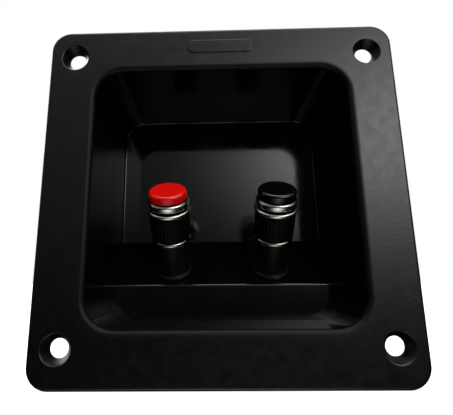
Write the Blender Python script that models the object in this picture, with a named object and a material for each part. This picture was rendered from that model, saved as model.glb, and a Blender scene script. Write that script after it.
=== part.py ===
"""Recessed loudspeaker terminal cup with two angled binding posts.

Frame: +X to the right, +Z up, -Y out of the cabinet towards the user.
The origin is the centre of the flange's back face, the plane that seats on the cabinet.
"""
import bpy
import bmesh
from math import sin, cos, tan, radians, degrees, pi
from mathutils import Matrix, Vector

# ---- flange ---------------------------------------------------------------------------------
FLANGE_SIZE = 0.100
FLANGE_THICKNESS = 0.003
FLANGE_CORNER_RADIUS = 0.0058
FLANGE_EDGE_RADIUS = 0.0010
SCREW_SPACING_X = 0.0852
SCREW_SPACING_Z = 0.0816
SCREW_HOLE_DIAMETER = 0.0049
SCREW_SINK_DIAMETER = 0.0078
SCREW_SINK_DEPTH = 0.0025

# ---- recess ---------------------------------------------------------------------------------
OPENING_SIZE = 0.0726
OPENING_RAISE = 0.0007
OPENING_CORNER_RADIUS = 0.0080
LIP_RADIUS = 0.0014
DRAFT_ANGLE = radians(1.8)
WALL = 0.0022
FLOOR_DEPTH = 0.0330
SHELF_DEPTH = 0.0157
SHELF_WIDTH = 0.0103
PANEL_TILT = radians(49.5)
RIDGE_RADIUS = 0.0008

# ---- plain raised bar on the top rim --------------------------------------------------------
BAR_LENGTH = 0.0190
BAR_HEIGHT = 0.0040
BAR_RELIEF = 0.0003

# ---- posts, measured along their axis from the panel's front face ---------------------------
POST_SPACING = 0.0305
POST_SEAT = 0.0070
STUD_DIAMETER = 0.0040
POST_DIAMETER = 0.0060
WIRE_HOLE_DIAMETER = 0.0028
PANEL_HOLE_DIAMETER = 0.0066
COLLAR_WALL = 0.0018
COLLAR_LENGTH = 0.0118
COLLAR_FOOT_RIM = 0.0009
COLLAR_FOOT_THICKNESS = 0.0012
CLAMP_WASHER_WIDTH = 0.0027
CLAMP_WASHER_THICKNESS = 0.0015
KNOB_WALL = 0.0015
KNOB_GRIP_LENGTH = 0.0078
KNOB_BEAD_DIAMETER = 0.0124
KNOB_BEAD_WIDTH = 0.0014
KNOB_GROOVE_DEPTH = 0.0006
KNOB_GROOVE_WIDTH = 0.0008
KNOB_RING_WIDTH = 0.0020
KNOB_THREAD_DEPTH = 0.0085
SLEEVE_WALL = 0.0010
CAP_DIAMETER = 0.0107
CAP_INSET = 0.00045
CAP_THICKNESS = 0.0023
CAP_PEG_LENGTH = 0.0030
CAP_PEG_DIAMETER = 0.0040

# ---- hardware behind the panel --------------------------------------------------------------
REAR_BUSH_DIAMETER = 0.0110
REAR_BUSH_THICKNESS = 0.0022
LOCK_WASHER_DIAMETER = 0.0082
LOCK_WASHER_THICKNESS = 0.0008
CLAMP_NUT_FLATS = 0.0070
CLAMP_NUT_THICKNESS = 0.0030
LUG_RING_DIAMETER = 0.0080
LUG_THICKNESS = 0.0006
LUG_TAB_WIDTH = 0.0032
LUG_TAB_LENGTH = 0.0080
LUG_NECK_LENGTH = 0.0022
LUG_EYE_DIAMETER = 0.0016
LUG_NUT_THICKNESS = 0.0022
STUD_REAR_SPARE = 0.0016

# ---- fits -----------------------------------------------------------------------------------
GAP = 0.0003
BORE_CLEARANCE = 0.0003
CUT_OVERSHOOT = 0.0010

# ---- facets ---------------------------------------------------------------------------------
KNOB_SEGMENTS = 28
STUD_SEGMENTS = 20
HOLE_SEGMENTS = 24
CORNER_SEGMENTS = 6

# ---- derived places -------------------------------------------------------------------------
FRONT_Y = -FLANGE_THICKNESS
FLOOR_Y = FRONT_Y + FLOOR_DEPTH
SHELF_Y = FRONT_Y + SHELF_DEPTH


def half_opening(y):
    """Half width of the recess at depth y, with the draft of its walls."""
    return OPENING_SIZE / 2 - (y - FRONT_Y) * tan(DRAFT_ANGLE)


RIDGE_Z = OPENING_RAISE - half_opening(SHELF_Y) + SHELF_WIDTH
PANEL_UP = Vector((0, sin(PANEL_TILT), cos(PANEL_TILT)))
SEAT = Vector((0, SHELF_Y, RIDGE_Z)) + PANEL_UP * POST_SEAT


# ---- tools ----------------------------------------------------------------------------------
def make_material(name, colour, roughness, metallic=0.0):
    material = bpy.data.materials.new(name)
    material.use_nodes = True
    shader = material.node_tree.nodes["Principled BSDF"]
    shader.inputs["Base Color"].default_value = (*colour, 1)
    shader.inputs["Roughness"].default_value = roughness
    shader.inputs["Metallic"].default_value = metallic
    return material


def add_object(name, mesh, material=None, parent=None, location=(0, 0, 0)):
    piece = bpy.data.objects.new(name, mesh)
    bpy.context.scene.collection.objects.link(piece)
    piece.location = location
    piece.parent = parent
    if material:
        mesh.materials.append(material)
    return piece


def mesh_from_bmesh(name, bm):
    bmesh.ops.recalc_face_normals(bm, faces=bm.faces)
    mesh = bpy.data.meshes.new(name)
    bm.to_mesh(mesh)
    bm.free()
    mesh.shade_smooth()
    mesh.set_sharp_from_angle(angle=radians(35))
    return mesh


def loft(name, rings, closed=False):
    """Join equal rings of points with quads; end rings are capped unless the loft is closed."""
    bm = bmesh.new()
    loops = [[bm.verts.new(point) for point in ring] for ring in rings]
    pairs = list(zip(loops, loops[1:]))
    if closed:
        pairs.append((loops[-1], loops[0]))
    for first, second in pairs:
        for i in range(len(first)):
            j = (i + 1) % len(first)
            bm.faces.new((first[i], first[j], second[j], second[i]))
    if not closed:
        bm.faces.new(loops[0])
        bm.faces.new(loops[-1])
    return mesh_from_bmesh(name, bm)


def circle(radius, z, segments):
    angles = [2 * pi * i / segments for i in range(segments)]
    return [(radius * cos(a), radius * sin(a), z) for a in angles]


def turned(name, profile, segments, bored=False):
    """Turn (radius, z) points about Z; a bored piece's profile closes on itself."""
    return loft(name, [circle(r, z, segments) for r, z in profile], closed=bored)


def rounded_rectangle(half_x, half_z, corner, y, centre_z):
    """One ring of a rounded rectangle in the XZ plane at depth y."""
    points = []
    for sign_x, sign_z, start in ((1, 1, 0), (-1, 1, 90), (-1, -1, 180), (1, -1, 270)):
        for i in range(CORNER_SEGMENTS + 1):
            angle = radians(start + 90 * i / CORNER_SEGMENTS)
            x = sign_x * (half_x - corner) + corner * cos(angle)
            z = sign_z * (half_z - corner) + corner * sin(angle)
            points.append((x, y, centre_z + z))
    return points


def extruded_x(name, outline, half_width):
    """Extrude a closed (y, z) outline to both sides along X."""
    return loft(name, [[(x, y, z) for y, z in outline] for x in (-half_width, half_width)])


def arc(centre_y, centre_z, radius, start, end, steps):
    """Points (y, z) on an arc from start to end, in degrees."""
    angles = [radians(start + (end - start) * i / steps) for i in range(steps + 1)]
    return [(centre_y + radius * cos(a), centre_z + radius * sin(a)) for a in angles]


def make_guide(name, mesh, parent=None, location=(0, 0, 0)):
    guide = add_object(name, mesh, parent=parent, location=location)
    guide.hide_render = True
    guide.display_type = "WIRE"
    return guide


def boolean(target, guide, operation):
    step = target.modifiers.new(guide.name, "BOOLEAN")
    step.operation = operation
    step.solver = "EXACT"
    step.object = guide


# ---- cup ------------------------------------------------------------------------------------
def recess_ring(half, y):
    """Ring around the recess; its corners keep one centre at every depth."""
    corner_centre = OPENING_SIZE / 2 - OPENING_CORNER_RADIUS
    return rounded_rectangle(half, half, half - corner_centre, y, OPENING_RAISE)


def cup_shell():
    """Flange, lip, recess and outer box as one loft, from the recess floor to the box's back."""
    half_flange = FLANGE_SIZE / 2
    edge = FLANGE_EDGE_RADIUS

    def flange_ring(inset, y):
        half = half_flange - inset
        return rounded_rectangle(half, half, FLANGE_CORNER_RADIUS - inset, y, 0)

    rings = [recess_ring(half_opening(FLOOR_Y), FLOOR_Y)]
    for i in range(4):
        angle = radians(90 * i / 3)
        lip_half = half_opening(FRONT_Y + LIP_RADIUS) + LIP_RADIUS * (1 - cos(angle))
        rings.append(recess_ring(lip_half, FRONT_Y + LIP_RADIUS * (1 - sin(angle))))
    for i in range(4):
        angle = radians(90 * i / 3)
        rings.append(flange_ring(edge * (1 - sin(angle)), FRONT_Y + edge * (1 - cos(angle))))
    rings.append(flange_ring(0, 0))
    rings.append(recess_ring(half_opening(0) + WALL, 0))
    back_y = FLOOR_Y + WALL
    rings.append(recess_ring(half_opening(back_y) + WALL, back_y))
    return loft("terminal_cup", rings)


def step_outline(offset, far_y):
    """(y, z) outline of what fills the recess below the shelf and panel, moved back by offset."""
    shelf_y = SHELF_Y + offset
    turn = offset * tan(PANEL_TILT / 2)
    ridge_z = RIDGE_Z - turn
    reach = (far_y - shelf_y) / tan(PANEL_TILT)
    trim = RIDGE_RADIUS * tan(PANEL_TILT / 2)
    low_z = -FLANGE_SIZE
    ridge = arc(shelf_y + RIDGE_RADIUS, ridge_z - trim, RIDGE_RADIUS,
                180, 180 - degrees(PANEL_TILT), 3)
    return [(shelf_y, low_z)] + ridge + [(far_y, ridge_z + reach), (far_y, low_z)]


def make_cup(material):
    cup = add_object("terminal_cup", cup_shell(), material)

    block_top = FLOOR_Y + WALL / 2
    block = make_guide("step_block", extruded_x("step_block", step_outline(0, block_top),
                                                FLANGE_SIZE))
    limit_rings = [recess_ring(half_opening(y) + WALL / 2, y) for y in (FRONT_Y, block_top)]
    boolean(block, make_guide("step_limit", loft("step_limit", limit_rings)), "INTERSECT")
    boolean(cup, block, "UNION")

    behind = step_outline(WALL, FLOOR_Y + WALL + CUT_OVERSHOOT)
    boolean(cup, make_guide("step_relief", extruded_x("step_relief", behind, FLANGE_SIZE)),
            "DIFFERENCE")

    bar_z = (FLANGE_SIZE / 2 + OPENING_RAISE + OPENING_SIZE / 2 + LIP_RADIUS) / 2
    bar_rings = []
    for y, inset in ((FRONT_Y + CUT_OVERSHOOT, 0), (FRONT_Y - BAR_RELIEF / 2, 0),
                     (FRONT_Y - BAR_RELIEF, BAR_RELIEF / 2)):
        bar_rings.append(rounded_rectangle(BAR_LENGTH / 2 - inset, BAR_HEIGHT / 2 - inset,
                                           BAR_HEIGHT / 2 - inset - GAP, y, bar_z))
    boolean(cup, make_guide("rim_bar", loft("rim_bar", bar_rings)), "UNION")

    slope = (SCREW_SINK_DIAMETER - SCREW_HOLE_DIAMETER) / 2 / SCREW_SINK_DEPTH
    wide = SCREW_SINK_DIAMETER / 2 + slope * CUT_OVERSHOOT
    narrow = SCREW_HOLE_DIAMETER / 2
    for side, x in (("left", -SCREW_SPACING_X / 2), ("right", SCREW_SPACING_X / 2)):
        for level, shift in (("low", -SCREW_SPACING_Z / 2), ("high", SCREW_SPACING_Z / 2)):
            z = OPENING_RAISE + shift
            name = f"screw_hole_{level}_{side}"
            mesh = turned(name, [(wide, FLANGE_THICKNESS + CUT_OVERSHOOT),
                                 (narrow, FLANGE_THICKNESS - SCREW_SINK_DEPTH),
                                 (narrow, -CUT_OVERSHOOT)], HOLE_SEGMENTS)
            mesh.transform(Matrix.Rotation(radians(90), 4, "X"))
            boolean(cup, make_guide(name, mesh, location=(x, 0, z)), "DIFFERENCE")
    return cup


# ---- posts ----------------------------------------------------------------------------------
# Heights below are along the post's axis, from the panel's front face.
COLLAR_RADIUS = POST_DIAMETER / 2 + COLLAR_WALL
CORE_RADIUS = POST_DIAMETER / 2 + KNOB_WALL
RING_RADIUS = CAP_DIAMETER / 2 + CAP_INSET
WASHER_BASE = COLLAR_LENGTH + GAP
KNOB_BASE = WASHER_BASE + CLAMP_WASHER_THICKNESS + GAP
BEAD_BASE = KNOB_BASE + KNOB_GRIP_LENGTH
GROOVE_BASE = BEAD_BASE + KNOB_BEAD_WIDTH
RING_BASE = GROOVE_BASE + KNOB_GROOVE_WIDTH
KNOB_TOP = RING_BASE + KNOB_RING_WIDTH
CAP_BASE = KNOB_TOP + GAP
POST_TOP = KNOB_BASE + KNOB_THREAD_DEPTH - GAP
POST_BORE = POST_DIAMETER / 2 + BORE_CLEARANCE
STUD_BORE = STUD_DIAMETER / 2 + BORE_CLEARANCE
BUSH_TOP = -WALL - GAP
BUSH_BACK = BUSH_TOP - REAR_BUSH_THICKNESS
WASHER_FACE = BUSH_BACK - GAP
NUT_FACE = WASHER_FACE - LOCK_WASHER_THICKNESS - GAP
LUG_FACE = NUT_FACE - CLAMP_NUT_THICKNESS - GAP
LUG_NUT_FACE = LUG_FACE - LUG_THICKNESS - GAP
STUD_END = LUG_NUT_FACE - LUG_NUT_THICKNESS - STUD_REAR_SPARE
CHAMFER = 0.0004


def make_stud(name, axis, metal):
    wide = POST_DIAMETER / 2
    narrow = STUD_DIAMETER / 2
    profile = [(wide - CHAMFER, POST_TOP), (wide, POST_TOP - CHAMFER), (wide, WASHER_BASE),
               (narrow, WASHER_BASE), (narrow, STUD_END + CHAMFER), (narrow - CHAMFER, STUD_END)]
    stud = add_object(name, turned(name, profile, STUD_SEGMENTS), metal, axis)
    bore = turned(name + "_wire_bore", [(WIRE_HOLE_DIAMETER / 2, POST_DIAMETER),
                                        (WIRE_HOLE_DIAMETER / 2, -POST_DIAMETER)], HOLE_SEGMENTS)
    bore.transform(Matrix.Rotation(radians(90), 4, "Y"))
    hole_z = WASHER_BASE + WIRE_HOLE_DIAMETER / 2 + GAP
    boolean(stud, make_guide(name + "_wire_bore", bore, axis, (0, 0, hole_z)), "DIFFERENCE")


def make_collar(name, axis, plastic):
    foot = COLLAR_RADIUS + COLLAR_FOOT_RIM
    body = COLLAR_RADIUS
    spigot = PANEL_HOLE_DIAMETER / 2 - BORE_CLEARANCE
    profile = [(body - CHAMFER, COLLAR_LENGTH), (body, COLLAR_LENGTH - CHAMFER),
               (body, COLLAR_FOOT_THICKNESS), (foot - CHAMFER, COLLAR_FOOT_THICKNESS),
               (foot, COLLAR_FOOT_THICKNESS - CHAMFER), (foot, GAP), (spigot, GAP),
               (spigot, -WALL), (STUD_BORE, -WALL), (STUD_BORE, COLLAR_LENGTH)]
    add_object(name, turned(name, profile, KNOB_SEGMENTS, bored=True), plastic, axis)


def make_ring(name, parent, material, radius, bore, low, high, location=(0, 0, 0)):
    profile = [(radius - CHAMFER / 2, high), (radius, high - CHAMFER / 2),
               (radius, low + CHAMFER / 2), (radius - CHAMFER / 2, low), (bore, low), (bore, high)]
    mesh = turned(name, profile, KNOB_SEGMENTS, bored=True)
    return add_object(name, mesh, material, parent, location)


def make_thumb_nut(name, axis, metal):
    """Nut core under the sleeve, then a round bead, a groove and the ring below the cap."""
    bead = KNOB_BEAD_DIAMETER / 2
    groove = RING_RADIUS - KNOB_GROOVE_DEPTH
    peg_bore = CAP_PEG_DIAMETER / 2 + BORE_CLEARANCE
    bead_soft = KNOB_BEAD_WIDTH / 3
    ring_soft = KNOB_RING_WIDTH / 4
    profile = [(RING_RADIUS - ring_soft, KNOB_TOP), (RING_RADIUS, KNOB_TOP - ring_soft),
               (RING_RADIUS, RING_BASE + ring_soft), (RING_RADIUS - ring_soft, RING_BASE),
               (groove, RING_BASE), (groove, GROOVE_BASE),
               (bead - bead_soft, GROOVE_BASE), (bead, GROOVE_BASE - bead_soft),
               (bead, BEAD_BASE + bead_soft), (bead - bead_soft, BEAD_BASE),
               (CORE_RADIUS, BEAD_BASE), (CORE_RADIUS, KNOB_BASE), (POST_BORE, KNOB_BASE),
               (POST_BORE, KNOB_BASE + KNOB_THREAD_DEPTH),
               (peg_bore, KNOB_BASE + KNOB_THREAD_DEPTH), (peg_bore, KNOB_TOP)]
    profile = [(r, z - KNOB_BASE) for r, z in profile]
    mesh = turned(name, profile, KNOB_SEGMENTS, bored=True)
    return add_object(name, mesh, metal, axis, (0, 0, KNOB_BASE))


def make_sleeve(name, knob, plastic):
    """Insulating sleeve pressed over the nut's core, drawn in at its lower end."""
    bore = CORE_RADIUS + BORE_CLEARANCE
    outer = bore + SLEEVE_WALL
    top = KNOB_GRIP_LENGTH - GAP
    soft = SLEEVE_WALL * 0.8
    profile = [(outer, top), (outer, 2 * soft), (outer - soft, 0), (bore, 0), (bore, top)]
    add_object(name, turned(name, profile, KNOB_SEGMENTS, bored=True), plastic, knob)


def make_cap(name, knob, plastic):
    disc = CAP_DIAMETER / 2
    peg = CAP_PEG_DIAMETER / 2
    top = CAP_BASE + CAP_THICKNESS
    profile = [(disc - 2 * CHAMFER, top), (disc - CHAMFER / 2, top - CHAMFER / 2),
               (disc, top - 2 * CHAMFER), (disc, CAP_BASE), (peg, CAP_BASE),
               (peg, CAP_BASE - CAP_PEG_LENGTH)]
    profile = [(r, z - CAP_BASE) for r, z in profile]
    add_object(name, turned(name, profile, KNOB_SEGMENTS), plastic, knob, (0, 0, CAP_BASE - KNOB_BASE))


def make_hex_nut(name, axis, metal, face, thickness):
    """Hexagon nut with round bore; twelve bore points pair with the six corners and flats."""
    corner = CLAMP_NUT_FLATS / 2 / cos(radians(30))

    def outer(z):
        points = []
        for i in range(12):
            radius = corner if i % 2 == 0 else CLAMP_NUT_FLATS / 2
            angle = radians(30 * i)
            points.append((radius * cos(angle), radius * sin(angle), z))
        return points

    rings = [outer(face), outer(face - thickness), circle(STUD_BORE, face - thickness, 12),
             circle(STUD_BORE, face, 12)]
    add_object(name, loft(name, rings, closed=True), metal, axis)


def make_solder_lug(name, axis, metal):
    """Flat ring with a tab that bends to point straight back out of the cabinet side."""
    ring = LUG_RING_DIAMETER / 2
    half_tab = LUG_TAB_WIDTH / 2
    bend = radians(90) - PANEL_TILT
    start = (ring ** 2 - half_tab ** 2) ** 0.5 - GAP
    turn_y = ring + LUG_NECK_LENGTH
    tip_y = turn_y + LUG_TAB_LENGTH * cos(bend)
    tip_z = LUG_FACE - LUG_TAB_LENGTH * sin(bend)
    kink = LUG_THICKNESS * tan(bend / 2)
    outline = [(start, LUG_FACE), (turn_y, LUG_FACE), (tip_y, tip_z),
               (tip_y - LUG_THICKNESS * sin(bend), tip_z - LUG_THICKNESS * cos(bend)),
               (turn_y - kink, LUG_FACE - LUG_THICKNESS), (start, LUG_FACE - LUG_THICKNESS)]
    lug = make_ring(name, axis, metal, ring, STUD_BORE, LUG_FACE - LUG_THICKNESS, LUG_FACE)
    tab = make_guide(name + "_tab", extruded_x(name + "_tab", outline, half_tab), axis)
    boolean(lug, tab, "UNION")
    eye = turned(name + "_eye", [(LUG_EYE_DIAMETER / 2, LUG_TAB_WIDTH),
                                 (LUG_EYE_DIAMETER / 2, -LUG_TAB_WIDTH)], HOLE_SEGMENTS // 2)
    eye.transform(Matrix.Rotation(-bend, 4, "X"))
    reach = LUG_TAB_LENGTH - LUG_TAB_WIDTH / 2
    place = (0, turn_y + reach * cos(bend), LUG_FACE - reach * sin(bend))
    boolean(lug, make_guide(name + "_eye", eye, axis, place), "DIFFERENCE")


def make_post(colour, x, cup, cap_plastic, black_plastic, metal):
    axis = bpy.data.objects.new(colour + "_post_axis", None)
    bpy.context.scene.collection.objects.link(axis)
    axis.location = (x, SEAT.y, SEAT.z)
    axis.rotation_euler = (radians(90) - PANEL_TILT, 0, 0)

    make_stud(colour + "_stud", axis, metal)
    make_collar(colour + "_collar", axis, black_plastic)
    make_ring(colour + "_clamp_washer", axis, metal, POST_DIAMETER / 2 + CLAMP_WASHER_WIDTH,
              POST_BORE, 0, CLAMP_WASHER_THICKNESS, (0, 0, WASHER_BASE))
    knob = make_thumb_nut(colour + "_thumb_nut", axis, metal)
    make_sleeve(colour + "_grip_sleeve", knob, black_plastic)
    make_cap(colour + "_cap", knob, cap_plastic)
    make_ring(colour + "_rear_bush", axis, black_plastic, REAR_BUSH_DIAMETER / 2, STUD_BORE,
              BUSH_BACK, BUSH_TOP)
    make_ring(colour + "_lock_washer", axis, metal, LOCK_WASHER_DIAMETER / 2, STUD_BORE,
              WASHER_FACE - LOCK_WASHER_THICKNESS, WASHER_FACE)
    make_hex_nut(colour + "_clamp_nut", axis, metal, NUT_FACE, CLAMP_NUT_THICKNESS)
    make_solder_lug(colour + "_solder_lug", axis, metal)
    make_hex_nut(colour + "_lug_nut", axis, metal, LUG_NUT_FACE, LUG_NUT_THICKNESS)

    panel_hole = turned(colour + "_panel_hole", [(PANEL_HOLE_DIAMETER / 2, CUT_OVERSHOOT),
                                                 (PANEL_HOLE_DIAMETER / 2, -WALL - CUT_OVERSHOOT)],
                        HOLE_SEGMENTS)
    boolean(cup, make_guide(colour + "_panel_hole", panel_hole, axis), "DIFFERENCE")


# ---- build ----------------------------------------------------------------------------------
for old in list(bpy.data.objects):
    bpy.data.objects.remove(old)

black_abs = make_material("black_abs", (0.012, 0.012, 0.013), 0.25)
red_abs = make_material("red_abs", (0.75, 0.004, 0.002), 0.3)
black_cap_abs = make_material("black_cap_abs", (0.008, 0.008, 0.009), 0.15)
plated_brass = make_material("plated_brass", (0.82, 0.78, 0.66), 0.16, 1.0)

terminal_cup = make_cup(black_abs)
make_post("red", -POST_SPACING / 2, terminal_cup, red_abs, black_abs, plated_brass)
make_post("black", POST_SPACING / 2, terminal_cup, black_cap_abs, black_abs, plated_brass)
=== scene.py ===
from math import atan2, cos, exp, pi, radians, sin, tan

import bmesh
import bpy
from mathutils import Matrix, Vector


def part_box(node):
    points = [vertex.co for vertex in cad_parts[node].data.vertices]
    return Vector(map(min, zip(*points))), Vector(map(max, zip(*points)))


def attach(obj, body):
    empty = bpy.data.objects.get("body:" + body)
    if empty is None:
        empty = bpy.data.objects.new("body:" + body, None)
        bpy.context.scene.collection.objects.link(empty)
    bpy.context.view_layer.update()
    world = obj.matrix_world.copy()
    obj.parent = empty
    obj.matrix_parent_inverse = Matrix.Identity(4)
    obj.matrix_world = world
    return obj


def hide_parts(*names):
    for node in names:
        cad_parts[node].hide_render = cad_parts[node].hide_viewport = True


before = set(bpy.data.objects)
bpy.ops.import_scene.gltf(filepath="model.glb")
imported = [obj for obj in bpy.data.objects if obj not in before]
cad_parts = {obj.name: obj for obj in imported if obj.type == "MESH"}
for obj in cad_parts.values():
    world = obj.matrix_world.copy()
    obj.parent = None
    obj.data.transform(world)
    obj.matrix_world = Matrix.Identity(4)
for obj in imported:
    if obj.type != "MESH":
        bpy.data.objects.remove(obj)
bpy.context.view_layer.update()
print("frame loaded:", len(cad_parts), "nodes")

mm = 0.001
cupLow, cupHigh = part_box("terminal_cup")


def linearColour(text):
    # sRGB hex to the linear values that the shaders take
    parts = [int(text[i:i + 2], 16) / 255 for i in (1, 3, 5)]
    return tuple(p / 12.92 if p <= 0.04045 else ((p + 0.055) / 1.055) ** 2.4 for p in parts) + (1,)


def addNode(tree, kind, links=None, **settings):
    # links gives each input socket a value or another node's output
    node = tree.nodes.new(kind)
    for key, value in settings.items():
        setattr(node, key, value)
    for socket, value in (links or {}).items():
        if isinstance(value, bpy.types.NodeSocket):
            tree.links.new(value, node.inputs[socket])
        else:
            node.inputs[socket].default_value = value
    return node


# the surroundings are a sky that brightens with height and some soft lobes of light
studio = {
    "cameraPlace": (-3.0, -92.4, -23.3),    # mm
    "pitch": 11.12,
    "turnLeft": 1.18,
    "roll": -0.58,
    "lens": 27.18,
    "shift": (0.0477, 0.0113),
    # direction from the cup, spread along each axis, strength
    "lights": {
        "key": ((0.55, -1.0, 0.43), (0.20, 0.30, 0.13), 5.3),
        "top": ((0.10, -0.36, 1.0), (0.30, 0.15, 0.14), 5.0),
        "low": ((0.05, -1.0, -0.62), (0.22, 0.30, 0.06), 0.5),
        "paper": ((0.02, -0.58, -0.82), (0.26, 0.26, 0.15), 1.3),
        "rear": ((-0.45, 0.75, 0.50), (0.35, 0.35, 0.30), 5.0),
    },
    "skyLow": 0.0,
    "skyHigh": 0.20,
    "skyFrom": -0.17,
    "skyTo": 0.60,
    "backdropHex": "#ffffff",
}


def makeCamera():
    data = bpy.data.cameras.new("camera")
    camera = bpy.data.objects.new("camera", data)
    bpy.context.scene.collection.objects.link(camera)
    turn = Matrix.Rotation(radians(studio["turnLeft"]), 4, "Z")
    tip = Matrix.Rotation(radians(90 + studio["pitch"]), 4, "X")
    lean = Matrix.Rotation(radians(studio["roll"]), 4, "Z")
    camera.matrix_world = Matrix.Translation(Vector(studio["cameraPlace"]) * mm) @ turn @ tip @ lean
    data.lens = studio["lens"]
    data.shift_x, data.shift_y = studio["shift"]
    data.clip_start = 0.002
    data.clip_end = 20
    bpy.context.scene.camera = camera


def softBox(tree, direction, towards, spread, strength):
    # a round soft light in the surroundings, brightest towards one direction
    aim = Vector(towards).normalized()
    offset = addNode(tree, "ShaderNodeVectorMath", {0: direction, 1: aim}, operation="SUBTRACT")
    scaled = addNode(tree, "ShaderNodeVectorMath",
                     {0: offset.outputs["Vector"], 1: [1 / s for s in spread]},
                     operation="MULTIPLY")
    square = addNode(tree, "ShaderNodeVectorMath",
                     {0: scaled.outputs["Vector"], 1: scaled.outputs["Vector"]},
                     operation="DOT_PRODUCT")
    falloff = addNode(tree, "ShaderNodeMath", {0: exp(-0.5), 1: square.outputs["Value"]},
                      operation="POWER")
    return addNode(tree, "ShaderNodeMath", {0: falloff.outputs["Value"], 1: strength},
                   operation="MULTIPLY").outputs["Value"]


def makeWorld():
    world = bpy.data.worlds.new("studio")
    bpy.context.scene.world = world
    world.use_nodes = True
    tree = world.node_tree
    tree.nodes.clear()
    direction = addNode(tree, "ShaderNodeTexCoord").outputs["Generated"]
    height = addNode(tree, "ShaderNodeSeparateXYZ", {0: direction}).outputs["Z"]
    sky = addNode(tree, "ShaderNodeMapRange",
                  {"Value": height, "From Min": studio["skyFrom"], "From Max": studio["skyTo"],
                   "To Min": studio["skyLow"], "To Max": studio["skyHigh"]}).outputs["Result"]
    total = sky
    for towards, spread, strength in studio["lights"].values():
        box = softBox(tree, direction, towards, spread, strength)
        total = addNode(tree, "ShaderNodeMath", {0: box, 1: total},
                        operation="ADD").outputs["Value"]
    lit = addNode(tree, "ShaderNodeBackground", {"Color": (1, 1, 1, 1), "Strength": total})
    plain = addNode(tree, "ShaderNodeBackground",
                    {"Color": linearColour(studio["backdropHex"]), "Strength": 1.0})
    seen = addNode(tree, "ShaderNodeLightPath").outputs["Is Camera Ray"]
    mixed = addNode(tree, "ShaderNodeMixShader",
                    {0: seen, 1: lit.outputs[0], 2: plain.outputs[0]})
    addNode(tree, "ShaderNodeOutputWorld", {"Surface": mixed.outputs[0]})


# white floor sheet; its own glow keeps it as bright as the white behind it
floor = {
    "paperHex": "#f6f5f2",
    "roughness": 0.9,
    "glow": 0.80,
    "size": 6.0,    # metres
    "drop": 0.02,    # mm below the cup
}


def makeFloor():
    material = bpy.data.materials.new("whiteFloorPaper")
    material.use_nodes = True
    shader = material.node_tree.nodes["Principled BSDF"]
    shader.inputs["Base Color"].default_value = linearColour(floor["paperHex"])
    shader.inputs["Roughness"].default_value = floor["roughness"]
    shader.inputs["Emission Color"].default_value = (1, 1, 1, 1)
    shader.inputs["Emission Strength"].default_value = floor["glow"]
    half = floor["size"] / 2
    low = cupLow.z - floor["drop"] * mm
    mesh = bpy.data.meshes.new("floorPaper")
    corners = [(-half, -half, low), (half, -half, low), (half, half, low), (-half, half, low)]
    mesh.from_pydata(corners, [], [(0, 1, 2, 3)])
    mesh.materials.append(material)
    paper = bpy.data.objects.new("floorPaper", mesh)
    bpy.context.scene.collection.objects.link(paper)
    paper.visible_glossy = False    # the shiny parts show the dim room below and not the paper
    paper.visible_diffuse = False


bpy.context.scene.view_settings.view_transform = "Standard"
makeCamera()
makeWorld()
makeFloor()
print("camera, floor and light ready")


def perMm(size):
    # texture scale for a pattern whose grains are this many mm across
    return 1 / (size * mm)


def linesPerMm(spacing):
    # wave texture scale for lines this many mm apart; the texture repeats every pi / 10
    return pi / 10 * perMm(spacing)


def newMaterial(name):
    material = bpy.data.materials.new(name)
    material.use_nodes = True
    tree = material.node_tree
    place = addNode(tree, "ShaderNodeTexCoord").outputs["Object"]
    return material, tree, tree.nodes["Principled BSDF"], place


def grainPattern(tree, place, size, low, high, detail=2.0):
    # noise of that grain size in mm, stretched to run from low to high
    noise = addNode(tree, "ShaderNodeTexNoise",
                    {"Vector": place, "Scale": perMm(size), "Detail": detail}).outputs["Fac"]
    usualLow, usualHigh = 0.32, 0.68    # nearly all of the noise lies between these
    return addNode(tree, "ShaderNodeMapRange",
                   {"Value": noise, "From Min": usualLow, "From Max": usualHigh,
                    "To Min": low, "To Max": high}).outputs["Result"]


def cloudedColour(tree, place, size, firstHex, secondHex, detail=3):
    # two close tones in clouds of that size in mm
    cloud = grainPattern(tree, place, size, 0, 1, detail)
    # inputs 6 and 7 and output 2 are the colour sockets of a Mix node
    return addNode(tree, "ShaderNodeMix", {0: cloud, 6: linearColour(firstHex),
                                           7: linearColour(secondHex)},
                   data_type="RGBA").outputs[2]


def addRelief(tree, shader, place, layers, below=None):
    # each layer is grain size in mm, noise detail, strength and depth in mm
    for size, detail, strength, depth in layers:
        links = {"Height": grainPattern(tree, place, size, 0, 1, detail),
                 "Strength": strength, "Distance": depth * mm}
        if below:
            links["Normal"] = below
        below = addNode(tree, "ShaderNodeBump", links).outputs["Normal"]
    tree.links.new(below, shader.inputs["Normal"])


def mouldedPlastic(values):
    # two close tones in clouds, a patchy gloss and a fine skin
    material, tree, shader, place = newMaterial(values["name"])
    shade = cloudedColour(tree, place, values["cloud"], values["darkHex"], values["paleHex"])
    tree.links.new(shade, shader.inputs["Base Color"])
    size, detail = values["patch"]
    tree.links.new(grainPattern(tree, place, size, values["smooth"], values["rough"], detail),
                   shader.inputs["Roughness"])
    shader.inputs["IOR"].default_value = values["ior"]
    shader.inputs["Specular IOR Level"].default_value = values["specular"]
    below = None
    if "lineSpacing" in values:
        lines = addNode(tree, "ShaderNodeTexWave",
                        {"Vector": place, "Scale": linesPerMm(values["lineSpacing"]),
                         "Distortion": 1.5, "Detail": 2.0}, bands_direction="Z").outputs["Fac"]
        below = addNode(tree, "ShaderNodeBump", {"Height": lines, "Strength": 0.15,
                                                 "Distance": 0.01 * mm}).outputs["Normal"]
    addRelief(tree, shader, place, values["relief"], below)
    return material


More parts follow.
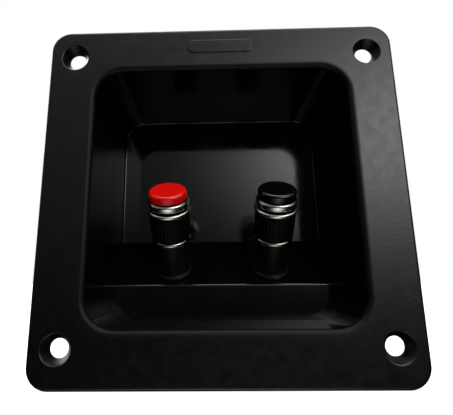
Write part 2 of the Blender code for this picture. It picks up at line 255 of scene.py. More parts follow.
def roundCorners(points, radius, steps=4, closed=True):
    # every corner of a flat outline becomes an arc; a third value in a point is its own radius
    made = []
    count = len(points)
    for i, point in enumerate(points):
        here = Vector(point[:2])
        if not closed and i in (0, count - 1):
            made.append(tuple(here))
            continue
        back = Vector(points[i - 1][:2]) - here
        ahead = Vector(points[(i + 1) % count][:2]) - here
        corner = back.angle(ahead)
        wanted = point[2] if len(point) > 2 else radius
        if abs(pi - corner) < 0.02 or wanted <= 0:
            made.append(tuple(here))
            continue
        reach = min(wanted / tan(corner / 2), 0.48 * back.length, 0.48 * ahead.length)
        size = reach * tan(corner / 2)
        inward = (back.normalized() + ahead.normalized()).normalized()
        middle = here + inward * size / sin(corner / 2)
        start = here + back.normalized() * reach - middle
        end = here + ahead.normalized() * reach - middle
        first = atan2(start.y, start.x)
        swing = (atan2(end.y, end.x) - first + pi) % (2 * pi) - pi
        for k in range(steps + 1):
            angle = first + swing * k / steps
            made.append((middle.x + size * cos(angle), middle.y + size * sin(angle)))
    return made


def skin(name, rings, closed=False):
    # equal rings of points in mm joined by quads; an open skin is capped at both ends
    bm = bmesh.new()
    loops = [[bm.verts.new(Vector(point) * mm) for point in ring] for ring in rings]
    pairs = list(zip(loops, loops[1:]))
    if closed:
        pairs.append((loops[-1], loops[0]))
    for first, second in pairs:
        for i in range(len(first)):
            j = (i + 1) % len(first)
            bm.faces.new((first[i], first[j], second[j], second[i]))
    if not closed:
        bm.faces.new(loops[0])
        bm.faces.new(loops[-1])
    bmesh.ops.recalc_face_normals(bm, faces=bm.faces)
    mesh = bpy.data.meshes.new(name)
    bm.to_mesh(mesh)
    bm.free()
    return mesh


def turned(name, profile, segments=96, bored=True, radiusAt=None):
    # (radius, height) points turned about Z; radiusAt may change a radius by angle and height
    rings = []
    for radius, height in profile:
        ring = []
        for i in range(segments):
            angle = 2 * pi * i / segments
            r = radiusAt(radius, height, angle) if radiusAt else radius
            ring.append((r * cos(angle), r * sin(angle), height))
        rings.append(ring)
    return skin(name, rings, closed=bored)


def newObject(name, mesh, place=None):
    piece = bpy.data.objects.new(name, mesh)
    bpy.context.scene.collection.objects.link(piece)
    if place:
        piece.matrix_world = place
    return piece


def carve(piece, tool, operation):
    # a finished boolean; the tool piece is used up
    step = piece.modifiers.new(operation, "BOOLEAN")
    step.operation = operation
    step.solver = "EXACT"
    step.object = tool
    bpy.context.view_layer.update()
    graph = bpy.context.evaluated_depsgraph_get()
    cut = bpy.data.meshes.new_from_object(piece.evaluated_get(graph))
    piece.modifiers.clear()
    piece.data = cut
    bpy.data.objects.remove(tool)


def dress(piece, material, sharpAngle=32):
    # smooth shading that keeps flat faces flat and real edges crisp
    if material:
        piece.data.materials.clear()
        piece.data.materials.append(material)
    piece.data.shade_smooth()
    piece.data.set_sharp_from_angle(angle=radians(sharpAngle))
    normals = piece.modifiers.new("faceNormals", "WEIGHTED_NORMAL")
    normals.keep_sharp = True
    normals.weight = 100


def acrossX(name, outline, halfWidth):
    return skin(name, [[(x, y, z) for y, z in outline] for x in (-halfWidth, halfWidth)])


def quarter(steps):
    return [radians(90 * i / steps) for i in range(steps + 1)]


# the moulding, lengths in mm and angles in degrees; the flange's size comes from the frame
cup = {
    "flangeSize": (cupHigh.x - cupLow.x) / mm,
    "flangeThickness": 3.0,
    "flangeCorner": 5.8,
    "flangeEdge": 1.0,
    "rearChamfer": 0.25,
    "openingSize": 72.6,
    "openingRaise": 0.7,
    "openingCorner": 8.0,
    "lipRadius": 1.4,
    "draft": 1.8,
    "wall": 2.2,
    "floorDepth": 33.0,
    "floorFillet": 0.5,
    "shelfDepth": 15.7,
    "shelfWidth": 10.3,
    "panelTilt": 49.5,
    "ridgeRadius": 0.8,
    "backFillet": 1.6,
    "screwSpacingX": 85.2,
    "screwSpacingZ": 81.6,
    "screwHole": 4.9,
    "screwSink": 7.8,
    "screwSinkDepth": 2.5,
    "barLength": 19.0,
    "barHeight": 4.0,
    "barRelief": 0.3,
    "panelHole": 6.6,
}


frontY = -cup["flangeThickness"]
floorY = frontY + cup["floorDepth"]
shelfY = frontY + cup["shelfDepth"]
tilt = radians(cup["panelTilt"])


def halfOpening(y):
    return cup["openingSize"] / 2 - (y - frontY) * tan(radians(cup["draft"]))


def roundedSquare(half, corner, y, centreZ, steps=14):
    # one ring of a rounded square at depth y
    points = []
    for signX, signZ, start in ((1, 1, 0), (-1, 1, 90), (-1, -1, 180), (1, -1, 270)):
        for i in range(steps + 1):
            angle = radians(start + 90 * i / steps)
            points.append((signX * (half - corner) + corner * cos(angle), y,
                           centreZ + signZ * (half - corner) + corner * sin(angle)))
    return points


def recessRing(half, y):
    # the corners keep one centre at every depth, as the draft widens them
    middle = cup["openingSize"] / 2 - cup["openingCorner"]
    return roundedSquare(half, half - middle, y, cup["openingRaise"])


satinFlange = {
    "darkHex": "#050506",
    "paleHex": "#0a0a0b",
    "cloud": 5.0,
    "patch": 3.0,
    "smooth": 0.27,
    "rough": 0.34,
    "edgeRough": 0.24,
    "edgeBand": (1.2, 0.2),    # mm inside the outer edge, from unworn to fully worn
    "handling": 2.0,
    "lipRough": 0.48,
    "lipSpecular": 0.20,
    "lipBand": (0.5, -0.3),    # mm outside the lip's radius, from flange to lip
    "relief": ((1.8, 2, 0.10, 0.01), (0.55, 3, 0.35, 0.02)),
}


def satinAbs():
    # ABS moulded in a spark-eroded tool: a satin black that spreads a light into a broad glow
    values = satinFlange
    material, tree, shader, place = newMaterial("absSparkEroded")
    shade = cloudedColour(tree, place, values["cloud"], values["darkHex"], values["paleHex"])
    tree.links.new(shade, shader.inputs["Base Color"])
    base = grainPattern(tree, place, values["patch"], values["smooth"], values["rough"], 4)

    # hands have polished the outer edge in patches
    flat = addNode(tree, "ShaderNodeVectorMath", {0: place}, operation="ABSOLUTE")
    split = addNode(tree, "ShaderNodeSeparateXYZ", {0: flat.outputs["Vector"]})
    reach = addNode(tree, "ShaderNodeMath", {0: split.outputs["X"], 1: split.outputs["Z"]},
                    operation="MAXIMUM").outputs["Value"]
    half = cup["flangeSize"] * mm / 2
    unworn, fullyWorn = values["edgeBand"]
    worn = addNode(tree, "ShaderNodeMapRange",
                   {"Value": reach, "From Min": half - unworn * mm,
                    "From Max": half - fullyWorn * mm}).outputs["Result"]
    patches = grainPattern(tree, place, values["handling"], 0.2, 1.0)
    handled = addNode(tree, "ShaderNodeMath", {0: worn, 1: patches},
                      operation="MULTIPLY").outputs["Value"]
    rough = addNode(tree, "ShaderNodeMix", {0: handled, 2: base, 3: values["edgeRough"]})

    # the lip is duller; distance from the middle of a round corner gives it all the way round
    corner = cup["openingCorner"] + cup["lipRadius"]
    inner = (cup["openingSize"] / 2 - cup["openingCorner"]) * mm
    vector = place
    centre, nothing = (0, 0, cup["openingRaise"] * mm), (0, 0, 0)
    for operation, other in (("SUBTRACT", centre), ("ABSOLUTE", nothing),
                             ("SUBTRACT", (inner, 1.0, inner)), ("MAXIMUM", nothing)):
        vector = addNode(tree, "ShaderNodeVectorMath", {0: vector, 1: other},
                         operation=operation).outputs["Vector"]
    away = addNode(tree, "ShaderNodeVectorMath", {0: vector}, operation="LENGTH").outputs["Value"]
    outside, inside = values["lipBand"]
    lip = addNode(tree, "ShaderNodeMapRange",
                  {"Value": away, "From Min": (corner + outside) * mm,
                   "From Max": (corner + inside) * mm}).outputs["Result"]
    dull = addNode(tree, "ShaderNodeMix", {0: lip, 2: rough.outputs[0], 3: values["lipRough"]})
    tree.links.new(dull.outputs[0], shader.inputs["Roughness"])
    plainLevel = shader.inputs["Specular IOR Level"].default_value
    gleam = addNode(tree, "ShaderNodeMix", {0: lip, 2: plainLevel, 3: values["lipSpecular"]})
    tree.links.new(gleam.outputs[0], shader.inputs["Specular IOR Level"])
    shader.inputs["IOR"].default_value = 1.54
    # the real grain is about 0.1 mm; it is drawn five times as coarse so that it shows
    addRelief(tree, shader, place, values["relief"])
    return material


glossRecess = {
    "darkHex": "#050506",
    "paleHex": "#0a0a0b",
    "dustHex": "#4a4a48",
    "cloud": 9.0,
    "smudge": 7.0,
    "smooth": 0.07,
    "rough": 0.15,
    "dust": 0.5,
    "dustRough": 0.7,
    "relief": ((12.0, 1, 0.10, 0.05), (0.9, 2, 0.04, 0.01)),
}


def glossAbs():
    # ABS moulded in a polished tool: near-black with mirror-like reflections, smudged and dusty
    values = glossRecess
    material, tree, shader, place = newMaterial("absPolishedTool")
    shade = cloudedColour(tree, place, values["cloud"], values["darkHex"], values["paleHex"], 2)
    specks = addNode(tree, "ShaderNodeTexNoise", {"Vector": place, "Detail": 1.0,
                                                  "Scale": perMm(values["dust"])}).outputs["Fac"]
    # only the highest peaks of the noise become specks
    dust = addNode(tree, "ShaderNodeMapRange", {"Value": specks, "From Min": 0.76,
                                                "From Max": 0.84}).outputs["Result"]
    dusted = addNode(tree, "ShaderNodeMix", {0: dust, 6: shade, 7: linearColour(values["dustHex"])},
                     data_type="RGBA")
    tree.links.new(dusted.outputs[2], shader.inputs["Base Color"])
    smudge = grainPattern(tree, place, values["smudge"], values["smooth"], values["rough"], 5)
    rough = addNode(tree, "ShaderNodeMix", {0: dust, 2: smudge, 3: values["dustRough"]})
    tree.links.new(rough.outputs[0], shader.inputs["Roughness"])
    shader.inputs["IOR"].default_value = 1.54
    addRelief(tree, shader, place, values["relief"])
    return material


draggedSide = {
    "darkHex": "#040405",
    "paleHex": "#080809",
    "smooth": 0.20,
    "rough": 0.34,
    "specular": 0.06,    # painted shade: turned down because the deep side walls see little light
    "streak": 0.9,
    "stretch": (1, 1, 0.06),
    "strength": 0.25,
    "depth": 0.02,
}


def sideAbs():
    # ABS dragged along the core as the part left the tool: black with faint upright streaks
    values = draggedSide
    material, tree, shader, place = newMaterial("absDraggedOffCore")
    stretched = addNode(tree, "ShaderNodeVectorMath", {0: place, 1: values["stretch"]},
                        operation="MULTIPLY")
    streaks = grainPattern(tree, stretched.outputs["Vector"], values["streak"], 0, 1, 4)
    shade = addNode(tree, "ShaderNodeMix", {0: streaks, 6: linearColour(values["darkHex"]),
                                            7: linearColour(values["paleHex"])}, data_type="RGBA")
    tree.links.new(shade.outputs[2], shader.inputs["Base Color"])
    rough = addNode(tree, "ShaderNodeMix", {0: streaks, 2: values["smooth"], 3: values["rough"]})
    tree.links.new(rough.outputs[0], shader.inputs["Roughness"])
    shader.inputs["IOR"].default_value = 1.54
    shader.inputs["Specular IOR Level"].default_value = values["specular"]
    drag = addNode(tree, "ShaderNodeBump", {"Height": streaks, "Strength": values["strength"],
                                            "Distance": values["depth"] * mm})
    tree.links.new(drag.outputs["Normal"], shader.inputs["Normal"])
    return material


# the same ABS on the side that nobody sees, from a milled tool: matt with faint tool lines
plainBack = {
    "name": "absMilledTool",
    "darkHex": "#101011",
    "paleHex": "#1a1a1b",
    "cloud": 6.0,
    "patch": (3.0, 4),
    "smooth": 0.42,
    "rough": 0.58,
    "ior": 1.54,
    "specular": 0.5,
    "lineSpacing": 5.65,    # milling steps are under 1 mm; drawn coarser so that they show
    "relief": ((0.6, 2, 0.3, 0.02),),
}


def cupShell():
    lip, edge = cup["lipRadius"], cup["flangeEdge"]
    fillet, back = cup["floorFillet"], cup["backFillet"]
    halfFlange = cup["flangeSize"] / 2
    rings = []
    for a in quarter(6):
        rings.append(recessRing(halfOpening(floorY - fillet) - fillet * (1 - sin(a)),
                                floorY - fillet * (1 - cos(a))))
    for a in quarter(10):
        rings.append(recessRing(halfOpening(frontY + lip) + lip * (1 - cos(a)),
                                frontY + lip * (1 - sin(a))))
    for a in quarter(6):
        inset = edge * (1 - sin(a))
        rings.append(roundedSquare(halfFlange - inset, cup["flangeCorner"] - inset,
                                   frontY + edge * (1 - cos(a)), 0))
    chamfer = cup["rearChamfer"]
    rings.append(roundedSquare(halfFlange, cup["flangeCorner"], -chamfer, 0))
    rings.append(roundedSquare(halfFlange - chamfer, cup["flangeCorner"] - chamfer, 0, 0))
    outer = halfOpening(0) + cup["wall"]
    # hollow curve where the box leaves the flange
    for flare, y in ((0.6, 0), (0.15, 0.2), (0, 0.7)):
        rings.append(recessRing(outer + flare, y))
    backY = floorY + cup["wall"]
    outer = halfOpening(backY) + cup["wall"]
    for a in quarter(6):
        rings.append(recessRing(outer - back * (1 - cos(a)), backY - back * (1 - sin(a))))
    return skin("terminalCup", rings)


def stepOutline(offset, farY):
    # (y, z) outline of what fills the recess below the shelf and the sloped panel
    y = shelfY + offset
    ridgeZ = cup["openingRaise"] - halfOpening(shelfY) + cup["shelfWidth"] - offset * tan(tilt / 2)
    top = ridgeZ + (farY - y) / tan(tilt)
    low = -cup["flangeSize"]
    outline = [(y, low, 0), (y, ridgeZ, cup["ridgeRadius"]), (farY, top, 0), (farY, low, 0)]
    return roundCorners(outline, 0, 8)


def cutScrewHoles(piece):
    hole, sink = cup["screwHole"] / 2, cup["screwSink"] / 2
    # (radius, height) from the flange's front face, along -Y; the tool stands proud at both ends
    sinkFoot, back, proud = -cup["screwSinkDepth"], -cup["flangeThickness"], 1.0
    wideSink, wideHole = sink + 0.35, hole + 0.3
    outline = roundCorners([(wideSink, proud, 0), (wideSink, 0, 0), (sink, -0.12, 0.3),
                            (hole, sinkFoot, 0.15), (hole, back + 0.15, 0.05),
                            (wideHole, back - 0.02, 0), (wideHole, back - proud, 0)], 0, 4,
                           closed=False)
    for x in (-1, 1):
        for z in (-1, 1):
            mesh = turned("holeTool", outline, 64, bored=False)
            centre = Vector((x * cup["screwSpacingX"] / 2, frontY,
                             cup["openingRaise"] + z * cup["screwSpacingZ"] / 2))
            place = Matrix.Translation(centre * mm)
            tool = newObject("holeTool", mesh, place @ Matrix.Rotation(pi / 2, 4, "X"))
            carve(piece, tool, "DIFFERENCE")


def addRimBar(piece):
    # a plain raised bar in the middle of the top rim
    lipTop = cup["openingRaise"] + cup["openingSize"] / 2 + cup["lipRadius"]
    middle = (cup["flangeSize"] / 2 + lipTop) / 2
    relief = cup["barRelief"]
    rings = []
    for y, inset in ((frontY + 1.0, 0), (frontY - relief * 0.4, 0), (frontY - relief * 0.8, 0.08),
                     (frontY - relief, 0.25)):
        flat = []
        halfX, halfZ = cup["barLength"] / 2 - inset, cup["barHeight"] / 2 - inset
        for x, z in roundCorners([(halfX, halfZ), (-halfX, halfZ), (-halfX, -halfZ),
                                  (halfX, -halfZ)], halfZ * 0.85, 10):
            flat.append((x, y, middle + z))
        rings.append(flat)
    carve(piece, newObject("barTool", skin("barTool", rings)), "UNION")


flangeIndex, recessIndex, rearIndex, sideIndex = range(4)


def paintCup(piece):
    # polished recess with dragged sides, spark-eroded flange, plain back
    mesh = piece.data
    mesh.materials.clear()
    for material in (satinAbs(), glossAbs(), mouldedPlastic(plainBack), sideAbs()):
        mesh.materials.append(material)
    for face in mesh.polygons:
        x, y, z = face.center / mm
        reach = max(abs(x), abs(z - cup["openingRaise"]))
        pastLip = y > frontY + cup["lipRadius"] * 0.9
        if pastLip and reach < halfOpening(y) + 0.1 and face.normal.y < 0.2:
            face.material_index = sideIndex if abs(face.normal.x) > 0.7 else recessIndex
        elif face.normal.y > 0.5 or y > 0.01:
            face.material_index = rearIndex
        else:
            face.material_index = flangeIndex


# the binding posts, heights in mm along the post from the panel's front face
post = {
    "spacing": 30.5,
    "seat": 7.0,
    "gap": 0.3,
    "clearance": 0.3,
    "studDiameter": 4.0,
    "postDiameter": 6.0,
    "threadPitch": 0.7,
    "threadDepth": 0.3,
    "wireHole": 2.8,    # across the post, for the bare wire
    "collarWall": 1.8,
    "collarLength": 11.8,
    "footRim": 0.9,
    "footThickness": 1.2,
    "washerWidth": 2.7,
    "washerThickness": 1.5,
    "knobWall": 1.5,
    "gripLength": 7.8,
    "beadDiameter": 12.4,
    "beadWidth": 1.4,
    "grooveDepth": 0.6,
    "grooveWidth": 0.8,
    "ringWidth": 2.0,
    "knobThread": 8.5,
    "sleeveWall": 1.0,
    "ribs": 36,
    "ribDepth": 0.12,
    "capDiameter": 10.7,
    "capInset": 0.45,
    "capThickness": 2.3,
    "pegLength": 3.0,
    "pegDiameter": 4.0,
}


def postPlace(side):
    # the post's own frame: Z along the post, origin on the panel's front face
    ridgeZ = cup["openingRaise"] - halfOpening(shelfY) + cup["shelfWidth"]
    y = shelfY + post["seat"] * sin(tilt)
    z = ridgeZ + post["seat"] * cos(tilt)
    place = Matrix.Translation(Vector((side * post["spacing"] / 2, y, z)) * mm)
    return place @ Matrix.Rotation(pi / 2 - tilt, 4, "X")


def makeCup():
    piece = newObject("terminalCupMoulding", cupShell())
    blockFar = floorY + cup["wall"] / 2
    step = acrossX("blockTool", stepOutline(0, blockFar), cup["flangeSize"])
    block = newObject("blockTool", step)
    limit = [recessRing(halfOpening(y) + cup["wall"] / 2, y) for y in (frontY, blockFar)]
    carve(block, newObject("limitTool", skin("limitTool", limit)), "INTERSECT")
    carve(piece, block, "UNION")
    behind = stepOutline(cup["wall"], floorY + cup["wall"] + 1.0)
    carve(piece, newObject("reliefTool", acrossX("reliefTool", behind, cup["flangeSize"])),
          "DIFFERENCE")
    addRimBar(piece)
    cutScrewHoles(piece)
    hole = cup["panelHole"] / 2
    for side in (-1, 1):
        mesh = turned("panelTool", [(hole, 1.0), (hole, -cup["wall"] - 1.0)], 64, bored=False)
        carve(piece, newObject("panelTool", mesh, postPlace(side)), "DIFFERENCE")
    dress(piece, None)
    paintCup(piece)
    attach(piece, "root")
    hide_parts("terminal_cup")


makeCup()
print("moulding ready")


# hardware behind the panel, in mm
rear = {
    "bushDiameter": 11.0,
    "bushThickness": 2.2,
    "washerDiameter": 8.2,
    "washerThickness": 0.8,
    "washerTeeth": 10,
    "toothDepth": 0.75,
    "nutFlats": 7.0,
    "clampNutThickness": 3.0,
    "lugNutThickness": 2.2,
    "lugDiameter": 8.0,
    "lugThickness": 0.6,
    "tabWidth": 3.2,
    "tabLength": 8.0,
    "neckLength": 2.2,
    "eyeDiameter": 1.6,
    "studSpare": 1.6,
}


gap = post["gap"]
studBore = post["studDiameter"] / 2 + post["clearance"]
postRadius = post["postDiameter"] / 2
postBore = postRadius + post["clearance"]
collarRadius = postRadius + post["collarWall"]
coreRadius = postRadius + post["knobWall"]
ringRadius = post["capDiameter"] / 2 + post["capInset"]
washerBase = post["collarLength"] + gap
knobBase = washerBase + post["washerThickness"] + gap
beadBase = knobBase + post["gripLength"]
grooveBase = beadBase + post["beadWidth"]
ringBase = grooveBase + post["grooveWidth"]
knobTop = ringBase + post["ringWidth"]
capBase = knobTop + gap
postTop = knobBase + post["knobThread"] - gap
bushTop = -cup["wall"] - gap
bushBack = bushTop - rear["bushThickness"]
washerFace = bushBack - gap
nutFace = washerFace - rear["washerThickness"] - gap
lugFace = nutFace - rear["clampNutThickness"] - gap
lugNutFace = lugFace - rear["lugThickness"] - gap
studEnd = lugNutFace - rear["lugNutThickness"] - rear["studSpare"]


plastics = {
    # ABS moulded in a polished tool: clean red under a tight highlight
    "redCap": {"name": "absRedPolished", "darkHex": "#f20a06", "paleHex": "#fb120b",
               "cloud": 2.5, "patch": (1.5, 4), "smooth": 0.16, "rough": 0.28,
               "ior": 1.54, "specular": 0.5, "relief": ((0.8, 2, 0.12, 0.008),)},
    # the same in black, glossier
    "blackCap": {"name": "absBlackPolished", "darkHex": "#050505", "paleHex": "#0a0a0a",
                 "cloud": 2.5, "patch": (1.5, 4), "smooth": 0.05, "rough": 0.12,
                 "ior": 1.54, "specular": 0.5, "relief": ((0.8, 2, 0.12, 0.008),)},
    # moulded nylon of the collars and bushes: a soft-edged semi-matt black
    "nylon": {"name": "nylonMoulded", "darkHex": "#060606", "paleHex": "#0c0c0c",
              "cloud": 2.0, "patch": (1.2, 3), "smooth": 0.34, "rough": 0.46,
              "ior": 1.53, "specular": 0.25, "relief": ((0.4, 2, 0.2, 0.01),)},
    # nylon sleeve from a sand-blasted tool: nearly black, the ribs only catch thin glints
    "grip": {"name": "nylonSandBlasted", "darkHex": "#030304", "paleHex": "#070708",
             "cloud": 1.5, "patch": (0.9, 3), "smooth": 0.42, "rough": 0.55,
             "ior": 1.53, "specular": 0.10, "relief": ((0.3, 2, 0.2, 0.01),)},
}


# turning marks are about 0.1 mm apart; the line spacings are coarser so that they show
metals = {
    # turned brass under bright nickel: near-white highlights with warm edges
    "nickel": {"name": "nickelPlatedBrass", "brightHex": "#f6f2e8", "dullHex": "#e6dfcc",
               "smooth": 0.18, "rough": 0.28, "lineSpacing": 2.2},
    # the same on the knob, with painted shade darkening the bottom of its groove
    "knob": {"name": "nickelPlatedKnob", "brightHex": "#f8f5ee", "dullHex": "#ece6d6",
             "smooth": 0.18, "rough": 0.27, "lineSpacing": 2.2,
             "grooveShadeRadius": ringRadius - post["grooveDepth"] + 0.1, "grooveShadeHex": "#1c1a16"},
    # polished plate: the nickel drawn darker here as painted shade, a mirror that picks up the soft
    # boxes
    "washer": {"name": "nickelPolishedWasherShaded", "brightHex": "#d8d2c4", "dullHex": "#b9b09a",
               "smooth": 0.05, "rough": 0.11, "lineSpacing": 2.2},
    # stamped spring steel under zinc: a cool, blurred grey
    "zinc": {"name": "zincPlatedSteel", "brightHex": "#b4b8bc", "dullHex": "#989a98",
             "smooth": 0.28, "rough": 0.42, "lineSpacing": 1.26},
    # stamped brass dipped in tin: a soft, uneven sheen
    "tin": {"name": "tinnedBrass", "brightHex": "#c8c6be", "dullHex": "#a9a494",
            "smooth": 0.24, "rough": 0.42, "lineSpacing": 1.88},
}


def platedMetal(values):
    # two close tones of tarnish, a patchy gloss and faint rings round the turning axis
    material, tree, shader, place = newMaterial(values["name"])
    tarnishSize, patchSize = 1.6, 1.1
    shade = cloudedColour(tree, place, tarnishSize, values["brightHex"], values["dullHex"], 4)
    # painted shade: the knob's colour turns near-black towards the bottom of its groove
    if "grooveShadeRadius" in values:
        flat = addNode(tree, "ShaderNodeVectorMath", {0: place, 1: (1, 1, 0)}, operation="MULTIPLY")
        radius = addNode(tree, "ShaderNodeVectorMath", {0: flat.outputs["Vector"]},
                         operation="LENGTH").outputs["Value"]
        fade = 0.25    # mm from the painted groove shade to clean metal
        grooveShade = addNode(tree, "ShaderNodeMapRange",
                        {"Value": radius, "From Min": (values["grooveShadeRadius"] + fade) * mm,
                         "From Max": values["grooveShadeRadius"] * mm}).outputs["Result"]
        shade = addNode(tree, "ShaderNodeMix",
                        {0: grooveShade, 6: shade, 7: linearColour(values["grooveShadeHex"])},
                        data_type="RGBA").outputs[2]
    tree.links.new(shade, shader.inputs["Base Color"])
    shader.inputs["Metallic"].default_value = 1.0
    tree.links.new(grainPattern(tree, place, patchSize, values["smooth"], values["rough"], 4),
                   shader.inputs["Roughness"])
    rings = addNode(tree, "ShaderNodeTexWave",
                    {"Vector": place, "Scale": linesPerMm(values["lineSpacing"]),
                     "Distortion": 0.4, "Detail": 1.0}, bands_direction="Z").outputs["Fac"]
    turning = addNode(tree, "ShaderNodeBump", {"Height": rings, "Strength": 0.04,
                                               "Distance": 0.005 * mm})
    tree.links.new(turning.outputs["Normal"], shader.inputs["Normal"])
    return material


finishes = {key: mouldedPlastic(values) for key, values in plastics.items()}
finishes.update({key: platedMetal(values) for key, values in metals.items()})
print("post materials ready:", len(finishes))


def studMesh():
    # threaded core: the thick upper thread takes the knob, the thin lower one the nuts
    wide, narrow = post["postDiameter"] / 2, post["studDiameter"] / 2
    pitch, depth = post["threadPitch"], post["threadDepth"]
    stepSize = pitch / 6
    # (radius, height) from the top down, with both ends chamfered
    profile = [(wide - 0.6, postTop), (wide - 0.3, postTop - 0.15)]
    z = postTop - 0.4
    while z > washerBase + 0.3:
        profile.append((wide, z))
        z -= stepSize
    profile += [(wide, washerBase + 0.1), (wide - 0.1, washerBase), (narrow, washerBase),
                (narrow, 0)]
    z = bushBack
    while z > studEnd + 0.45:
        profile.append((narrow, z))
        z -= stepSize
    profile += [(narrow - 0.25, studEnd + 0.2), (narrow - 0.5, studEnd)]

    def thread(radius, height, angle):
        onThick = washerBase + 0.3 < height < postTop - 0.35
        onThin = studEnd + 0.4 < height < bushBack + 0.01
        if not (onThick or onThin):
            return radius
        phase = (height / pitch + angle / (2 * pi)) % 1
        return radius - depth * abs(2 * phase - 1)

    mesh = turned("stud", profile, 48, bored=False, radiusAt=thread)
    piece = newObject("studBlank", mesh)
    bore = post["wireHole"] / 2
    hole = turned("wireTool", [(bore, 6), (bore, -6)], 40, bored=False)
    height = washerBase + bore + gap
    place = Matrix.Translation(Vector((0, 0, height)) * mm) @ Matrix.Rotation(pi / 2, 4, "Y")
    carve(piece, newObject("wireTool", hole, place), "DIFFERENCE")
    mesh = piece.data
    bpy.data.objects.remove(piece)
    return mesh


def collarMesh():
    foot, body = collarRadius + post["footRim"], collarRadius
    spigot = cup["panelHole"] / 2 - post["clearance"]
    top, step = post["collarLength"], post["footThickness"]
    outline = [(body, top, 0.5), (body, step + 0.25, 0.1), (body + 0.25, step, 0.25),
               (foot, step, 0.5), (foot, gap, 0.15), (spigot, gap, 0.05),
               (spigot, -cup["wall"], 0.15), (studBore, -cup["wall"], 0.1), (studBore, top, 0.2)]
    return turned("collar", roundCorners(outline, 0.1, 5))


def ringMesh(name, radius, bore, low, high, edge, radiusAt=None, segments=96):
    outline = [(radius, high, edge), (radius, low, edge),
               (bore, low, edge / 2), (bore, high, edge / 2)]
    return turned(name, roundCorners(outline, edge, 5), segments, radiusAt=radiusAt)


def thumbNutMesh():
    # plain core for the sleeve, then a round bead, a groove and the round ring that holds the cap
    bead, groove = post["beadDiameter"] / 2, ringRadius - post["grooveDepth"]
    pegBore = post["pegDiameter"] / 2 + post["clearance"]
    threadTop = knobBase + post["knobThread"]
    ringSoft, beadSoft = post["ringWidth"] * 0.46, post["beadWidth"] * 0.46
    outline = [(ringRadius, knobTop, ringSoft), (ringRadius, ringBase, ringSoft),
               (groove, ringBase, 0.1), (groove, grooveBase, 0.1), (bead, grooveBase, beadSoft),
               (bead, beadBase, beadSoft), (coreRadius, beadBase, 0.1), (coreRadius, knobBase, 0.3),
               (postBore, knobBase, 0.3), (postBore, threadTop, 0.05), (pegBore, threadTop, 0.05),
               (pegBore, knobTop, 0.15)]
    return turned("thumbNut", roundCorners(outline, 0.1, 8))


def sleeveMesh():
    # ribbed grip, drawn in at its lower end
    bore = coreRadius + post["clearance"]
    outer = bore + post["sleeveWall"]
    top = beadBase - gap
    outline = [(outer, top, 0.3), (outer, knobBase, 0.9), (bore, knobBase, 0.15), (bore, top, 0.15)]
    profile = roundCorners(outline, 0.1, 6)
    low, high = knobBase + 1.1, top - 0.7
    made = []
    for i, (r, z) in enumerate(profile):
        made.append((r, z))
        after = profile[(i + 1) % len(profile)]
        if r > outer - 0.01 and after[0] > outer - 0.01 and z - after[1] > 3:
            for height in (high, high - 0.3, low + 0.3, low):
                made.append((outer, height))

    def rib(radius, height, angle):
        if not (low + 0.01 < height < high - 0.01 and radius > outer - 0.02):
            return radius
        return radius - post["ribDepth"] * (0.5 - 0.5 * cos(post["ribs"] * angle))

    return turned("gripSleeve", made, post["ribs"] * 6, radiusAt=rib)


def capMesh():
    disc, peg = post["capDiameter"] / 2, post["pegDiameter"] / 2
    top = capBase + post["capThickness"]
    outline = [(0.4, top, 0), (disc, top, 0.9), (disc, capBase, 0.15), (peg, capBase, 0.1),
               (peg, capBase - post["pegLength"], 0.4), (0.4, capBase - post["pegLength"], 0)]
    return turned("cap", roundCorners(outline, 0.2, 7, closed=False), 96, bored=False)


def hexNutMesh(name, face, thickness):
    # the corners are turned off at both faces, so the chamfer's curved edge shows on each flat
    flats = rear["nutFlats"] / 2
    chamfer, slope = flats * 0.97, 1.7
    rows = [0.1 * k for k in range(5)]

    def outline(radius, height, angle):
        if radius < flats * 0.9:
            return radius
        part = (angle + pi / 6) % (pi / 3) - pi / 6
        full = flats / cos(part)
        low = min(face - height, height - (face - thickness))
        return min(full, chamfer + low * slope)

    profile = [(studBore, face)]
    profile += [(flats, face - row) for row in rows]
    profile += [(flats, face - thickness + row) for row in reversed(rows)]
    profile += [(studBore, face - thickness)]
    return turned(name, profile, 96, radiusAt=outline)


def lockWasherMesh():
    # outer teeth cut into the spring washer
    teeth = rear["washerTeeth"]
    outer = rear["washerDiameter"] / 2

    def star(radius, height, angle):
        if radius < outer - 0.4:
            return radius
        wave = max(-1, min(1, 3 * cos(teeth * angle)))
        return radius - rear["toothDepth"] * (0.5 - 0.5 * wave)

    return ringMesh("lockWasher", outer, studBore, washerFace - rear["washerThickness"], washerFace,
                    0.12, star, teeth * 16)


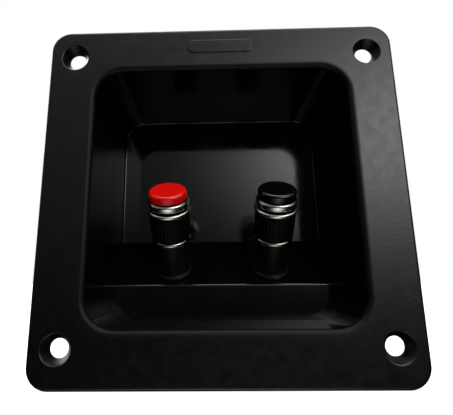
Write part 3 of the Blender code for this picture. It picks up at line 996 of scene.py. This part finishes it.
def solderLugMesh():
    # stamped tag: a ring, a neck and a tab bent straight back, with an eye for the wire
    ring, half = rear["lugDiameter"] / 2, rear["tabWidth"] / 2
    thick = rear["lugThickness"]
    bend = pi / 2 - tilt
    turnY = ring + rear["neckLength"]
    tip = rear["tabLength"]
    flat = ringMesh("solderLug", ring, studBore, lugFace - thick, lugFace, 0.1)
    blank = newObject("lugBlank", flat)
    start = (ring ** 2 - half ** 2) ** 0.5 - gap
    tipY, tipZ = turnY + tip * cos(bend), lugFace - tip * sin(bend)
    kink = thick * tan(bend / 2)
    side = [(start, lugFace, 0), (turnY, lugFace, 0.9), (tipY, tipZ, 0.08),
            (tipY - thick * sin(bend), tipZ - thick * cos(bend), 0.08),
            (turnY - kink, lugFace - thick, 0.5), (start, lugFace - thick, 0)]
    tab = newObject("tabTool", acrossX("tabTool", roundCorners(side, 0, 5), half))
    # the tab's plan has round corners at its tip
    plan = roundCorners([(-half, start - 1, 0), (half, start - 1, 0), (half, tipY, 1.0),
                         (-half, tipY, 1.0)], 0, 8)
    rings = [[(x, y, z) for x, y in plan] for z in (lugFace + 1, lugFace - tip - 1)]
    carve(tab, newObject("planTool", skin("planTool", rings)), "INTERSECT")
    carve(blank, tab, "UNION")
    eyeRadius = rear["eyeDiameter"] / 2
    eye = turned("eyeTool", [(eyeRadius, 3), (eyeRadius, -3)], 40, bored=False)
    reach = tip - half
    centre = Vector((0, turnY + reach * cos(bend), lugFace - reach * sin(bend)))
    place = Matrix.Translation(centre * mm)
    carve(blank, newObject("eyeTool", eye, place @ Matrix.Rotation(-bend, 4, "X")), "DIFFERENCE")
    mesh = blank.data
    bpy.data.objects.remove(blank)
    return mesh


def postPieces():
    # CAD node's ending: mesh, material, body's ending, record slot
    washer = ringMesh("clampWasher", postRadius + post["washerWidth"], postBore, washerBase,
                      washerBase + post["washerThickness"], 0.65)
    bush = ringMesh("rearBush", rear["bushDiameter"] / 2, studBore, bushBack, bushTop, 0.4)
    return {
        "stud": (studMesh(), "nickel", None, "plated_brass"),
        "collar": (collarMesh(), "nylon", None, "black_insulator"),
        "clamp_washer": (washer, "washer", "clamp", "plated_brass"),
        "thumb_nut": (thumbNutMesh(), "knob", "knob", "plated_brass"),
        "grip_sleeve": (sleeveMesh(), "grip", "knob", "black_insulator"),
        "cap": (capMesh(), "cap", "knob", "cap_plastic"),
        "rear_bush": (bush, "nylon", None, "black_insulator"),
        "lock_washer": (lockWasherMesh(), "zinc", None, "plated_steel"),
        "clamp_nut": (hexNutMesh("clampNut", nutFace, rear["clampNutThickness"]), "nickel", None,
                      "plated_brass"),
        "solder_lug": (solderLugMesh(), "tin", None, "tinned_brass"),
        "lug_nut": (hexNutMesh("lugNut", lugNutFace, rear["lugNutThickness"]), "nickel", None,
                    "plated_brass"),
    }


def makePosts():
    shared = postPieces()
    for colour, side in (("red", -1), ("black", 1)):
        for ending, (mesh, finish, body, slotName) in shared.items():
            name = ending.title().replace("_", "")
            piece = newObject(colour + name, mesh.copy(), postPlace(side))
            if finish == "cap":
                finish = colour + "Cap"
                slotName = colour + "_cap_plastic"
            dress(piece, finishes[finish], 40)
            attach(piece, colour + "_" + body if body else "root")
            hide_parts(colour + "_" + ending)


makePosts()
print("posts ready")
